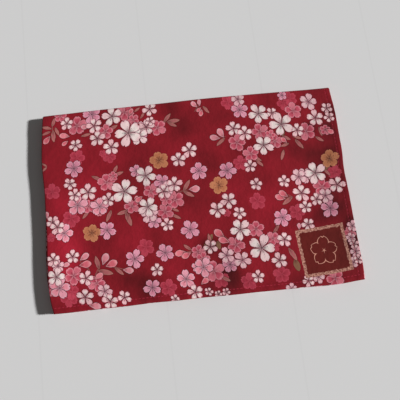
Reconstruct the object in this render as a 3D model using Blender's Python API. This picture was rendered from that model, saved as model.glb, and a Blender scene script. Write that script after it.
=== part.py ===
"""Folded handkerchief: a hemmed square of printed cotton, folded in half and then in thirds, lying flat.

Metres, +Z up. The origin is the middle of the folded stack's underside. +X runs along the long side, from
the fold in half to the open hems. +Y runs from the near edge, where the top panel's hem lies, to the far fold.

The cloth is one sheet. It starts as a flat slab in a grid of columns (across the fold in half) and rows
(along the back-and-forth run of the thirds), and each of its points is then carried into the folds.
"""
import math

import bmesh
import bpy

# Folded stack
WIDTH = 0.225             # fold in half to hems
LENGTH = 0.150            # near edge to far fold
SHEET = 0.0010            # thickness of the one sheet
LAYER_GAP = 0.00035       # air between two layers that lie on each other

# Fold in half: it makes the double cloth, whose upper ply shows on top of the stack
PLY_RADIUS = (SHEET + LAYER_GAP) / 2          # round the fold, to the middle of the sheet
DOUBLE = 2 * SHEET + LAYER_GAP                # thickness of the double cloth
HALF_PLY_TURN = math.pi * PLY_RADIUS / 2      # sheet from the fold's tip to the start of a ply
PLY_REACH = WIDTH - DOUBLE / 2                # start of a ply to its hem
UPPER_END = HALF_PLY_TURN + PLY_REACH         # fold's tip to the upper ply's hem, along the sheet
LOWER_END = UPPER_END - 0.0009                # the same in the lower ply: the fold misses the middle a little

# Thirds: the double cloth runs back and forth, from the bottom panel's hem to the top panel's hem
TURN_RADIUS = (DOUBLE + LAYER_GAP) / 2        # round a fold, to the middle of the double cloth
TURN = math.pi * TURN_RADIUS
TURN_TIP = TURN_RADIUS + DOUBLE / 2           # turn centre to the outside of the fold
BOTTOM_HEM_Y = LENGTH - 0.0022                # the bottom panel's hem stops short of the far fold
NEAR_TURN_Y = 0.0008 + TURN_TIP               # the near fold lies a little behind the top panel's hem
FAR_TURN_Y = LENGTH - TURN_TIP
NEAR_TURN_START = BOTTOM_HEM_Y - NEAR_TURN_Y
MIDDLE_START = NEAR_TURN_START + TURN
FAR_TURN_START = MIDDLE_START + FAR_TURN_Y - NEAR_TURN_Y
TOP_START = FAR_TURN_START + TURN
RUN_END = TOP_START + FAR_TURN_Y
BOTTOM_LEVEL = DOUBLE / 2                     # height of the middle of each panel's double cloth
MIDDLE_LEVEL = BOTTOM_LEVEL + 2 * TURN_RADIUS
TOP_LEVEL = MIDDLE_LEVEL + 2 * TURN_RADIUS
STACK = TOP_LEVEL + DOUBLE / 2

# Hems: the turned-in edge is a little thicker than the sheet
HEM_WIDTH = 0.006
HEM_EXTRA = 0.00016

# Grid steps
PLY_STEPS = 14
PANEL_STEPS = 10
FOLD_STEPS = 6

# Outline seen from above, from the near left corner of the nominal rectangle
LEFT_EDGE = [             # (y, x of the fold in half)
    (0.000, -0.0002), (0.009, -0.0025), (0.028, -0.0050), (0.058, -0.0042),
    (0.088, -0.0024), (0.112, -0.0029), (0.132, -0.0016), (0.150, 0.0002),
]
RIGHT_EDGE = [            # (y, x of the hems)
    (0.000, 0.2253), (0.015, 0.2261), (0.050, 0.2250), (0.082, 0.2234),
    (0.100, 0.2241), (0.130, 0.2244), (0.150, 0.2230),
]
NEAR_EDGE = [             # (x, y of the top panel's hem)
    (0.000, 0.0002), (0.060, 0.0003), (0.115, -0.0002), (0.155, -0.0010),
    (0.205, -0.0015), (0.225, -0.0004),
]
FAR_EDGE = [              # (x, y of the far fold)
    (0.000, 0.1493), (0.012, 0.1494), (0.040, 0.1504), (0.090, 0.1511),
    (0.125, 0.1518), (0.165, 0.1516), (0.225, 0.1510),
]

# The layers don't lie quite over each other
MIDDLE_TUCK = 0.0012      # the middle panel's fold in half stays inside the two others
MIDDLE_SLIP = 0.0006      # and its hems too
LOWER_TURN = 0.0014       # the lower panels are turned a little: near edge out at the left, in at the right
TOP_HEM_SETBACK = [       # (y, how far the top ply's hem draws back from the one under it)
    (0.000, 0.0019), (0.030, 0.0018), (0.055, 0.0006), (0.080, 0.0000), (0.150, 0.0001),
]

# Height of the stack: springy folds, hems that part a little, shallow swells and dips of the upper layers
FOLD_SPRING = 0.06        # extra height over the fold in half, as a share
TURN_SPRING = 0.05        # extra height over the folds of the thirds
HEM_SPREAD = 0.05         # extra height at the side hems
SPRING_REACH = 0.020      # how far in from an edge the extra height fades
SOFT_SPOTS = [            # (x, y, radius, share of the height)
    (0.050, 0.095, 0.040, 0.030),
    (0.105, 0.040, 0.045, -0.035),
    (0.150, 0.110, 0.038, 0.035),
    (0.196, 0.050, 0.030, -0.030),
    (0.020, 0.030, 0.028, 0.030),
]

COTTON_COLOUR = (0.300, 0.012, 0.035, 1.0)
COTTON_ROUGHNESS = 0.85


def clear_scene():
    """Remove every object of the open file."""
    for item in list(bpy.data.objects):
        bpy.data.objects.remove(item, do_unlink=True)


def ease(share):
    """Go from 0 to 1 with flat ends."""
    share = min(max(share, 0.0), 1.0)
    return share * share * (3.0 - 2.0 * share)


def read_edge(points, at):
    """Read a smooth line through (place, value) points."""
    last = len(points) - 1
    if at <= points[0][0]:
        return points[0][1]
    if at >= points[last][0]:
        return points[last][1]
    here = next(i for i in range(last) if at <= points[i + 1][0])
    start, end = points[here], points[here + 1]
    before, after = points[max(here - 1, 0)], points[min(here + 2, last)]
    span = end[0] - start[0]
    share = (at - start[0]) / span
    slope_in = span * (end[1] - before[1]) / (end[0] - before[0])
    slope_out = span * (after[1] - start[1]) / (after[0] - start[0])
    rise = end[1] - start[1]
    bend = slope_in + slope_out - 2 * rise
    return start[1] + share * (slope_in + share * (rise - slope_in - bend + share * bend))


def even_steps(start, end, steps):
    """Places from start up to end, evenly apart, without the last one."""
    return [start + (end - start) * k / steps for k in range(steps)]


def eased_steps(start, end, steps):
    """Places from start up to end, closer together near both, without the last one."""
    return [start + (end - start) * (1 - math.cos(math.pi * k / steps)) / 2 for k in range(steps)]


def column_places():
    """Places across the sheet: upper ply's hem (negative), fold in half (0), lower ply's hem (positive)."""
    return (
        eased_steps(-UPPER_END, -HALF_PLY_TURN, PLY_STEPS)
        + even_steps(-HALF_PLY_TURN, HALF_PLY_TURN, FOLD_STEPS)
        + eased_steps(HALF_PLY_TURN, LOWER_END, PLY_STEPS)
        + [LOWER_END]
    )


def row_places():
    """Places along the run of the double cloth, from the bottom panel's hem to the top panel's hem."""
    return (
        eased_steps(0.0, NEAR_TURN_START, PANEL_STEPS)
        + even_steps(NEAR_TURN_START, MIDDLE_START, FOLD_STEPS)
        + eased_steps(MIDDLE_START, FAR_TURN_START, PANEL_STEPS)
        + even_steps(FAR_TURN_START, TOP_START, FOLD_STEPS)
        + eased_steps(TOP_START, RUN_END, PANEL_STEPS)
        + [RUN_END]
    )


def fold_in_half(place, lift):
    """Distance from the fold's tip, and height over the middle of the double cloth.

    lift is how far the point lies from the middle of the sheet, towards its printed face.
    """
    radius = PLY_RADIUS + lift
    if place < -HALF_PLY_TURN:
        return DOUBLE / 2 - place - HALF_PLY_TURN, radius
    if place > HALF_PLY_TURN:
        return DOUBLE / 2 + place - HALF_PLY_TURN, -radius
    angle = place / PLY_RADIUS
    return DOUBLE / 2 - radius * math.cos(angle), -radius * math.sin(angle)


def fold_in_thirds(run, height):
    """y and z of a point of the double cloth; height is over its middle, as the bottom panel lies."""
    if run < NEAR_TURN_START:
        return BOTTOM_HEM_Y - run, BOTTOM_LEVEL + height
    if run < MIDDLE_START:
        angle = (run - NEAR_TURN_START) / TURN_RADIUS
        reach = TURN_RADIUS - height
        return NEAR_TURN_Y - reach * math.sin(angle), BOTTOM_LEVEL + TURN_RADIUS - reach * math.cos(angle)
    if run < FAR_TURN_START:
        return NEAR_TURN_Y + run - MIDDLE_START, MIDDLE_LEVEL - height
    if run < TOP_START:
        angle = (run - FAR_TURN_START) / TURN_RADIUS
        reach = TURN_RADIUS + height
        return FAR_TURN_Y + reach * math.sin(angle), MIDDLE_LEVEL + TURN_RADIUS - reach * math.cos(angle)
    return FAR_TURN_Y + TOP_START - run, TOP_LEVEL + height


def sheet_thickness(place, run):
    """Thickness of the sheet: more in the turned-in hem on all four sides."""
    to_edge = min(UPPER_END + place, LOWER_END - place, run, RUN_END - run)
    return SHEET + (HEM_EXTRA if to_edge < HEM_WIDTH else 0.0)


def height_factor(x, y):
    """Height of the stack at a place of it, as a factor on the nominal one."""
    factor = 1.0
    factor += FOLD_SPRING * (1 - ease(x / SPRING_REACH))
    factor += TURN_SPRING * (1 - ease(min(y, LENGTH - y) / SPRING_REACH))
    factor += HEM_SPREAD * (1 - ease((WIDTH - x) / SPRING_REACH))
    for spot_x, spot_y, radius, lift in SOFT_SPOTS:
        factor += lift * (1 - ease(math.hypot(x - spot_x, y - spot_y) / radius))
    return factor


def lay_out(x, y, z):
    """Carry a point of the straight stack into its uneven outline and height."""
    across = x / WIDTH
    level = min(max(z / STACK, 0.0), 1.0)
    middle = math.sin(math.pi * level) ** 2
    left = read_edge(LEFT_EDGE, y) + MIDDLE_TUCK * middle
    right = read_edge(RIGHT_EDGE, y) - MIDDLE_SLIP * middle
    near = read_edge(NEAR_EDGE, x)
    far = read_edge(FAR_EDGE, x)
    turned = LOWER_TURN * (1 - ease(level)) * (across - 0.5)
    return left + (right - left) * across, near + (far - near) * y / LENGTH + turned, z * height_factor(x, y)


def folded_point(place, run, side):
    """Where a point of the sheet lies in the folded stack; side is +1 on the printed face, -1 on the other."""
    x, height = fold_in_half(place, side * sheet_thickness(place, run) / 2)
    y, z = fold_in_thirds(run, height)
    if place < 0 and run > TOP_START:
        x *= 1 - read_edge(TOP_HEM_SETBACK, y) / WIDTH
    return lay_out(x, y, max(z, 0.0))


def flat_slab(columns, rows):
    """A closed slab of a sheet's two faces: a vertex's x and y number its column and row, z is its side."""
    mesh = bmesh.new()
    bmesh.ops.create_grid(mesh, x_segments=columns - 1, y_segments=rows - 1, size=1.0)
    for point in mesh.verts:
        point.co.x = round((point.co.x + 1) / 2 * (columns - 1))
        point.co.y = round((point.co.y + 1) / 2 * (rows - 1))
        point.co.z = -1.0
    raised = bmesh.ops.extrude_face_region(mesh, geom=mesh.faces[:])["geom"]
    for item in raised:
        if isinstance(item, bmesh.types.BMVert):
            item.co.z = 1.0
    return mesh


def centre_on_origin(mesh):
    """Move the mesh so that the middle of its outline, seen from above, is over the origin."""
    xs = [point.co.x for point in mesh.verts]
    ys = [point.co.y for point in mesh.verts]
    bmesh.ops.translate(
        mesh,
        vec=(-(min(xs) + max(xs)) / 2, -(min(ys) + max(ys)) / 2, 0.0),
        verts=mesh.verts[:],
    )


def cotton():
    """Printed cotton, in the colour of its ground."""
    material = bpy.data.materials.new("printed_cotton")
    material.use_nodes = True
    surface = material.node_tree.nodes["Principled BSDF"]
    surface.inputs["Base Color"].default_value = COTTON_COLOUR
    surface.inputs["Roughness"].default_value = COTTON_ROUGHNESS
    surface.inputs["Metallic"].default_value = 0.0
    return material


def handkerchief(collection):
    """The sheet in its folds, as one closed solid."""
    columns = column_places()
    rows = row_places()
    sheet = flat_slab(len(columns), len(rows))
    for point in sheet.verts:
        place = columns[round(point.co.x)]
        run = rows[round(point.co.y)]
        point.co = folded_point(place, run, point.co.z)
    centre_on_origin(sheet)
    bmesh.ops.recalc_face_normals(sheet, faces=sheet.faces[:])
    data = bpy.data.meshes.new("handkerchief")
    sheet.to_mesh(data)
    sheet.free()
    data.shade_smooth()
    data.set_sharp_from_angle(angle=math.radians(50))
    data.materials.append(cotton())
    collection.objects.link(bpy.data.objects.new("handkerchief", data))


def main():
    clear_scene()
    collection = bpy.data.collections.new("folded_handkerchief")
    bpy.context.scene.collection.children.link(collection)
    handkerchief(collection)


main()
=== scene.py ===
"""A folded handkerchief of printed cotton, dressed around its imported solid.

The cloth is one thin sheet in the solid's folds, with turned-in hems, a row of stitches along them, and a
printed face of cherry blossoms on crimson. Metres, +Z up, +X towards the open hems, +Y towards the far fold.
"""
import math

import bpy
import numpy as np
from mathutils import Matrix, Vector


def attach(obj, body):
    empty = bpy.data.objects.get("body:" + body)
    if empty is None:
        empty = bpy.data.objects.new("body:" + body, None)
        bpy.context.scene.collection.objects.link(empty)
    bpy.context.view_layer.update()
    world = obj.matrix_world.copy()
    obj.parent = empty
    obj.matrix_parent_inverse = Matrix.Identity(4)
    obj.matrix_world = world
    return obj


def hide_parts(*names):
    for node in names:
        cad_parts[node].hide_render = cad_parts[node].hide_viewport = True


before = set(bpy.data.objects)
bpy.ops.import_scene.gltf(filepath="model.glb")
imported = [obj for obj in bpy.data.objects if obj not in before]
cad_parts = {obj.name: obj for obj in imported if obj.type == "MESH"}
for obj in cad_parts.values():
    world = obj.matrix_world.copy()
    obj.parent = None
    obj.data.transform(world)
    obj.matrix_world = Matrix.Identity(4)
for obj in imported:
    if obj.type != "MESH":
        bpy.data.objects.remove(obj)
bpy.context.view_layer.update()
MM = 0.001

# Folded stack, as the solid has it
WIDTH = 225 * MM
LENGTH = 150 * MM
SOLID_SHEET = 1.0 * MM
SOLID_GAP = 0.35 * MM
PLY_RADIUS = (SOLID_SHEET + SOLID_GAP) / 2
DOUBLE = 2 * SOLID_SHEET + SOLID_GAP
HALF_PLY_TURN = math.pi * PLY_RADIUS / 2
UPPER_END = HALF_PLY_TURN + WIDTH - DOUBLE / 2
LOWER_END = UPPER_END - 0.9 * MM
TURN_RADIUS = (DOUBLE + SOLID_GAP) / 2
TURN = math.pi * TURN_RADIUS
TURN_TIP = TURN_RADIUS + DOUBLE / 2
BOTTOM_HEM_Y = LENGTH - 2.2 * MM
NEAR_TURN_Y = 0.8 * MM + TURN_TIP
FAR_TURN_Y = LENGTH - TURN_TIP
NEAR_TURN_START = BOTTOM_HEM_Y - NEAR_TURN_Y
MIDDLE_START = NEAR_TURN_START + TURN
FAR_TURN_START = MIDDLE_START + FAR_TURN_Y - NEAR_TURN_Y
TOP_START = FAR_TURN_START + TURN
RUN_END = TOP_START + FAR_TURN_Y
BOTTOM_LEVEL = DOUBLE / 2
MIDDLE_LEVEL = BOTTOM_LEVEL + 2 * TURN_RADIUS
TOP_LEVEL = MIDDLE_LEVEL + 2 * TURN_RADIUS
STACK = TOP_LEVEL + DOUBLE / 2

# Outline seen from above, as the solid has it, except that the far fold stands up to 0.8 mm further out
# and the top panel's fold in half draws back
LEFT_EDGE = [             # (y, x of the fold in half)
    (0.000, -0.0002), (0.009, -0.0025), (0.028, -0.0050), (0.058, -0.0042),
    (0.088, -0.0024), (0.112, -0.0029), (0.132, -0.0016), (0.150, 0.0002),
]
RIGHT_EDGE = [            # (y, x of the hems)
    (0.000, 0.2253), (0.015, 0.2261), (0.050, 0.2250), (0.082, 0.2234),
    (0.100, 0.2241), (0.130, 0.2244), (0.150, 0.2230),
]
NEAR_EDGE = [             # (x, y of the top panel's hem)
    (0.000, 0.0002), (0.060, 0.0003), (0.115, -0.0002), (0.155, -0.0010),
    (0.205, -0.0015), (0.225, -0.0004),
]
FAR_EDGE = [              # (x, y of the far fold)
    (0.000, 0.1500), (0.012, 0.1502), (0.040, 0.1510), (0.090, 0.1516),
    (0.125, 0.1522), (0.165, 0.1520), (0.225, 0.1512),
]
MIDDLE_TUCK = 1.2 * MM
MIDDLE_SLIP = 0.6 * MM
LOWER_TURN = 1.4 * MM
TOP_HEM_SETBACK = [       # (y, how far the top ply's hem draws back from the one under it)
    (0.000, 0.0019), (0.030, 0.0018), (0.055, 0.0006), (0.080, 0.0000), (0.150, 0.0001),
]
TOP_FOLD_SETBACK = [      # (y, how far the top panel's fold in half draws back from those under it)
    (0.000, 0.0000), (0.010, 0.0004), (0.018, 0.0010), (0.028, 0.0020), (0.042, 0.0022),
    (0.056, 0.0021), (0.067, 0.0016), (0.080, 0.0007), (0.100, 0.0002), (0.150, 0.0000),
]
FOLD_PRESS = 0.05         # the fold in half is pressed a little flatter than the solid's
FOLD_PRESS_REACH = 9 * MM
FOLD_SPRING = 0.06
TURN_SPRING = 0.05
HEM_SPREAD = 0.05
SPRING_REACH = 20 * MM
SOFT_SPOTS = [            # (x, y, radius, share of the height)
    (0.050, 0.095, 0.040, 0.030),
    (0.105, 0.040, 0.045, -0.035),
    (0.150, 0.110, 0.038, 0.035),
    (0.196, 0.050, 0.030, -0.030),
    (0.020, 0.030, 0.028, 0.030),
]

# The thin sheet
CLOTH = 0.50 * MM         # cotton, with the softness of its fibres
HEM = 0.85 * MM           # three layers of it in the hem
HEM_WIDTH = 5.0 * MM
HEM_STEP = 0.8 * MM       # the hem's inner edge fades into the cloth over this
HEM_TURNED_IN = 0.2       # share of the hem's extra thickness that it stands to its turned-in side
EDGE_ROUND = 0.42 * MM    # the hem's outer edge is a fold, so it is round
THINNEST = 0.05 * MM
STITCH_INSET = 3.9 * MM   # stitch line to the edge
STITCH_DIP = 0.16 * MM
STITCH_DIP_REACH = 0.45 * MM
STITCH_PITCH, STITCH_LENGTH, STITCH_THICKNESS = 2.7 * MM, 2.3 * MM, 0.30 * MM
STITCH_STEP = 0.9 * MM    # points of the line that they follow
STITCH_LIFT = 0.03 * MM   # middle of the thread over the cloth
PUCKER = 0.10 * MM        # ripples that the stitches draw into the hem
PUCKER_PITCH = 9.0 * MM
PUCKER_REACH = 9.0 * MM
SIDE_UNEVEN, RUN_UNEVEN = 17 * MM, 19 * MM
LAYER_SAG, SAG_LENGTH = 0.17 * MM, 95 * MM         # layers don't lie quite level on each other
LAYER_BREATH, BREATH_LENGTH = 0.16, 70 * MM        # the double cloth is looser in places
FOLD_CALM = 4 * MM        # layers stay level beside the fold in half, the hems and the turns
CALM_REACH = 12 * MM
TURN_CALM = 10 * MM
HEM_DRIFT = 0.35 * MM     # hems wander a little to each side of a straight line
HEM_DRIFT_REACH = 14 * MM
SIDE_DRIFT_LENGTH, RUN_DRIFT_LENGTH = 31 * MM, 37 * MM
PLIES_APART = 40 * MM     # so that the hems of the two plies wander each in its own way
TOP_PANEL_FROM = 0.655    # height, as a share of the stack, where the top panel starts
TOP_PANEL_BLEND = 0.035
CREASE_END = 0.12         # how far a crease has risen at its ends, as a share of half a wave
CREASES = [               # (x, y, x, y, half width, rise): soft pressed lines of the top panel
    (0.000, 0.136, 0.016, 0.150, 0.0040, 0.00035),
    (0.006, 0.118, 0.060, 0.139, 0.0060, -0.00022),
    (0.168, 0.006, 0.171, 0.145, 0.0050, 0.00020),
    (0.070, 0.012, 0.118, 0.046, 0.0070, -0.00022),
    (0.120, 0.096, 0.160, 0.074, 0.0080, 0.00022),
    (0.196, 0.090, 0.223, 0.108, 0.0050, -0.00028),
    (0.205, 0.060, 0.222, 0.052, 0.0040, 0.00022),
    (0.012, 0.020, 0.030, 0.012, 0.0050, 0.00028),
]

# Grid of the sheet: finer where it shows
EDGE_STEPS = [0.0, 0.05, 0.14, 0.27, 0.45, 0.9, 1.8, 2.8, 3.4, 3.9, 4.4, 4.9, 5.3, 6.0, 7.2]
UPPER_PITCH, LOWER_PITCH = 2.2 * MM, 4.0 * MM
TOP_PITCH, MIDDLE_PITCH, BOTTOM_PITCH = 2.2 * MM, 7.0 * MM, 3.6 * MM
PLY_TURN_STEPS = 10
TURN_STEPS = 14

# Parts of the sheet in the baked picture; the panels that show take most of it
BAKED_PARTS = [
    # name, from place, to place, from run, to run, left, right, low, high in the picture
    ("inner layers", -UPPER_END, LOWER_END, 0.0, RUN_END, 0.51, 0.73, 0.02, 0.32),
    ("top panel", -UPPER_END, HALF_PLY_TURN, FAR_TURN_START, RUN_END, 0.003, 0.997, 0.345, 0.997),
    ("underside", -HALF_PLY_TURN, LOWER_END, 0.0, MIDDLE_START, 0.003, 0.493, 0.02, 0.335),
    ("reverse", -UPPER_END, LOWER_END, 0.0, RUN_END, 0.75, 0.97, 0.02, 0.32),
]
BAKED_RIM_LEFT, BAKED_RIM_PITCH, BAKED_RIM_WIDTH = 0.004, 0.247, 0.24
BAKED_RIM_LOW, BAKED_RIM_HIGH = 0.003, 0.013


def ease(share):
    """Go from 0 to 1 with flat ends."""
    share = np.clip(share, 0.0, 1.0)
    return share * share * (3.0 - 2.0 * share)


def fade(distance, reach):
    """Go from 1 beside something to 0 a reach away from it."""
    return 1 - ease(distance / reach)


def read_edge(points, at):
    """Read a smooth line through (place, value) points."""
    places, values = np.array(points).T
    last = len(places) - 1
    at = np.clip(at, places[0], places[last])
    here = np.clip(np.searchsorted(places, at, side="right") - 1, 0, last - 1)
    before, after = np.maximum(here - 1, 0), np.minimum(here + 2, last)
    span = places[here + 1] - places[here]
    share = (at - places[here]) / span
    rise = values[here + 1] - values[here]
    slope_in = span * (values[here + 1] - values[before]) / (places[here + 1] - places[before])
    slope_out = span * (values[after] - values[here]) / (places[after] - places[here])
    bend = slope_in + slope_out - 2 * rise
    return values[here] + share * (slope_in + share * (rise - slope_in - bend + share * bend))


def soft_wave(a, b, reach, phase):
    """A smooth uneven wave between -1 and 1 over two coordinates, about one reach long."""
    turn = 2 * math.pi / reach
    return (
        np.sin(turn * a + phase)
        + np.sin(turn * (0.43 * a + 0.58 * b) + 2.1 * phase)
        + np.sin(turn * (0.81 * b - 0.27 * a) + 3.7 * phase)
    ) / 3


def fold_in_half(place, lift):
    """Distance from the fold's tip, and height over the middle of the double cloth."""
    radius = PLY_RADIUS + lift
    angle = np.clip(place, -HALF_PLY_TURN, HALF_PLY_TURN) / PLY_RADIUS
    straight = np.maximum(np.abs(place) - HALF_PLY_TURN, 0.0)
    return DOUBLE / 2 - radius * np.cos(angle) + straight, -radius * np.sin(angle)


def fold_in_thirds(run, height):
    """y and z of a point of the double cloth; height is over its middle, as the bottom panel lies."""
    near = np.clip(run - NEAR_TURN_START, 0.0, TURN) / TURN_RADIUS
    far = np.clip(run - FAR_TURN_START, 0.0, TURN) / TURN_RADIUS
    near_y = NEAR_TURN_Y - (TURN_RADIUS - height) * np.sin(near)
    near_z = BOTTOM_LEVEL + TURN_RADIUS - (TURN_RADIUS - height) * np.cos(near)
    far_y = FAR_TURN_Y + (TURN_RADIUS + height) * np.sin(far)
    far_z = MIDDLE_LEVEL + TURN_RADIUS - (TURN_RADIUS + height) * np.cos(far)
    places = [run < NEAR_TURN_START, run < MIDDLE_START, run < FAR_TURN_START, run < TOP_START]
    y = np.select(places, [BOTTOM_HEM_Y - run, near_y, NEAR_TURN_Y + run - MIDDLE_START, far_y],
                  FAR_TURN_Y + TOP_START - run)
    z = np.select(places, [BOTTOM_LEVEL + height, near_z, MIDDLE_LEVEL - height, far_z], TOP_LEVEL + height)
    return y, z


def height_factor(x, y):
    """Height of the stack at a place of it, as a factor on the nominal one."""
    factor = 1 + (FOLD_SPRING * fade(x, SPRING_REACH) + HEM_SPREAD * fade(WIDTH - x, SPRING_REACH)
                  + TURN_SPRING * fade(np.minimum(y, LENGTH - y), SPRING_REACH)
                  - FOLD_PRESS * fade(x, FOLD_PRESS_REACH))
    for spot_x, spot_y, radius, lift in SOFT_SPOTS:
        factor = factor + lift * fade(np.hypot(x - spot_x, y - spot_y), radius)
    return factor


def lay_out(x, y, z):
    """Carry points of the straight stack into its uneven outline and height."""
    across = x / WIDTH
    level = np.clip(z / STACK, 0.0, 1.0)
    middle = np.sin(math.pi * level) ** 2
    on_top = ease((level - TOP_PANEL_FROM) / TOP_PANEL_BLEND)
    left = read_edge(LEFT_EDGE, y) + MIDDLE_TUCK * middle + read_edge(TOP_FOLD_SETBACK, y) * on_top
    right = read_edge(RIGHT_EDGE, y) - MIDDLE_SLIP * middle
    near, far = read_edge(NEAR_EDGE, x), read_edge(FAR_EDGE, x)
    turned = LOWER_TURN * (1 - ease(level)) * (across - 0.5)
    return left + (right - left) * across, near + (far - near) * y / LENGTH + turned, z * height_factor(x, y)


def edge_distance(place, run):
    """Distance of a place of the sheet from its nearest edge."""
    return np.minimum.reduce([UPPER_END + place, LOWER_END - place, run, RUN_END - run])


def sheet_faces(place, run, side):
    """How far a face of the sheet lies from its middle; side is +1 on the printed face, -1 on the other."""
    edge = edge_distance(place, run)
    hem = fade(edge - HEM_WIDTH + HEM_STEP / 2, HEM_STEP)
    rounded = np.sqrt(1 - (1 - np.clip(edge / EDGE_ROUND, 0.0, 1.0)) ** 2)
    dip = STITCH_DIP * np.exp(-((edge - STITCH_INSET) / STITCH_DIP_REACH) ** 2)
    half = ((CLOTH + (HEM - CLOTH) * hem) * rounded + THINNEST) / 2 - dip
    return side * half - HEM_TURNED_IN * (HEM - CLOTH) * hem


def crease_rise(x, y):
    """Rise of the top panel's creases at a place of the stack."""
    rise = 0.0
    for x0, y0, x1, y1, half_width, height in CREASES:
        along_x, along_y = x1 - x0, y1 - y0
        share = np.clip(((x - x0) * along_x + (y - y0) * along_y) / (along_x ** 2 + along_y ** 2), 0.0, 1.0)
        away = np.hypot(x - x0 - share * along_x, y - y0 - share * along_y)
        wave = CREASE_END + (1 - 2 * CREASE_END) * share
        rise = rise + height * np.exp(-(away / half_width) ** 2) * np.sin(math.pi * wave)
    return rise


def puckers(along, uneven):
    """Uneven ripples along a hem, between -1 and 1."""
    return np.sin(2 * math.pi * along / PUCKER_PITCH + 1.3 * np.sin(along / uneven))


def folded_points(place, run, side, lift=0.0):
    """Where points of the sheet lie in the folded stack; lift raises them off their face."""
    edge = edge_distance(place, run)
    x, height = fold_in_half(place, sheet_faces(place, run, side) + side * lift)
    turn_ends = (NEAR_TURN_START, MIDDLE_START, FAR_TURN_START, TOP_START)
    to_turn = np.minimum.reduce([np.abs(run - end) for end in turn_ends])
    in_turn = ((run > NEAR_TURN_START) & (run < MIDDLE_START)) | ((run > FAR_TURN_START) & (run < TOP_START))
    calm = np.where(in_turn, 0.0, ease(to_turn / TURN_CALM))
    loose = ease((x - FOLD_CALM) / CALM_REACH) * calm
    breath = LAYER_BREATH * soft_wave(x, run, BREATH_LENGTH, phase=0.7) * ease(edge / CALM_REACH)
    height = height * (1 + breath * loose)
    height = height + LAYER_SAG * soft_wave(x, run, SAG_LENGTH, phase=1.9) * loose
    y, z = fold_in_thirds(run, height)

    to_run_hem, ply = np.minimum(run, RUN_END - run), np.sign(place) * PLIES_APART
    on_top_ply = (place < 0) & (run > TOP_START)
    x = np.where(on_top_ply, x * (1 - read_edge(TOP_HEM_SETBACK, y) / WIDTH), x)
    side_drift = soft_wave(run, ply, SIDE_DRIFT_LENGTH, phase=0.4)
    x = x + HEM_DRIFT * side_drift * fade(WIDTH - x, HEM_DRIFT_REACH)
    run_drift = soft_wave(x, ply, RUN_DRIFT_LENGTH, phase=2.4)
    y = y + HEM_DRIFT * run_drift * fade(to_run_hem, HEM_DRIFT_REACH)

    side_pucker = puckers(run, SIDE_UNEVEN) * fade(WIDTH - x, PUCKER_REACH) * calm
    run_pucker = puckers(x, RUN_UNEVEN) * fade(to_run_hem, PUCKER_REACH)
    z = z + PUCKER * np.clip(z / STACK, 0.0, 1.0) * (side_pucker + run_pucker)
    z = z + crease_rise(x, y) * ease((z / STACK - 0.5) * 2)

    thin = (SOLID_SHEET - CLOTH) / 2
    z = np.maximum((z - thin) * STACK / (STACK - 2 * thin), 0.0)
    return lay_out(x, y, z)


def steps_to(start, end, pitch):
    """Places from start up to end, evenly apart and close to a pitch, without the last one."""
    count = max(1, round((end - start) / pitch))
    return list(start + (end - start) * np.arange(count) / count)


def column_places():
    """Places across the sheet: upper ply's hem (negative), fold in half (0), lower ply's hem (positive)."""
    edge = np.array(EDGE_STEPS) * MM
    upper_inner, lower_inner = -UPPER_END + edge[-1], LOWER_END - edge[-1]
    return np.array(
        list(-UPPER_END + edge[:-1])
        + steps_to(upper_inner, -HALF_PLY_TURN, UPPER_PITCH)
        + steps_to(-HALF_PLY_TURN, HALF_PLY_TURN, 2 * HALF_PLY_TURN / PLY_TURN_STEPS)
        + steps_to(HALF_PLY_TURN, lower_inner, LOWER_PITCH)
        + list(LOWER_END - edge[::-1])
    )


def row_places():
    """Places along the run, from the bottom panel's hem to the top panel's hem."""
    edge = np.array(EDGE_STEPS) * MM
    return np.array(
        list(edge[:-1])
        + steps_to(edge[-1], NEAR_TURN_START, BOTTOM_PITCH)
        + steps_to(NEAR_TURN_START, MIDDLE_START, TURN / TURN_STEPS)
        + steps_to(MIDDLE_START, FAR_TURN_START, MIDDLE_PITCH)
        + steps_to(FAR_TURN_START, TOP_START, TURN / TURN_STEPS)
        + steps_to(TOP_START, RUN_END - edge[-1], TOP_PITCH)
        + list(RUN_END - edge[::-1])
    )


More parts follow.
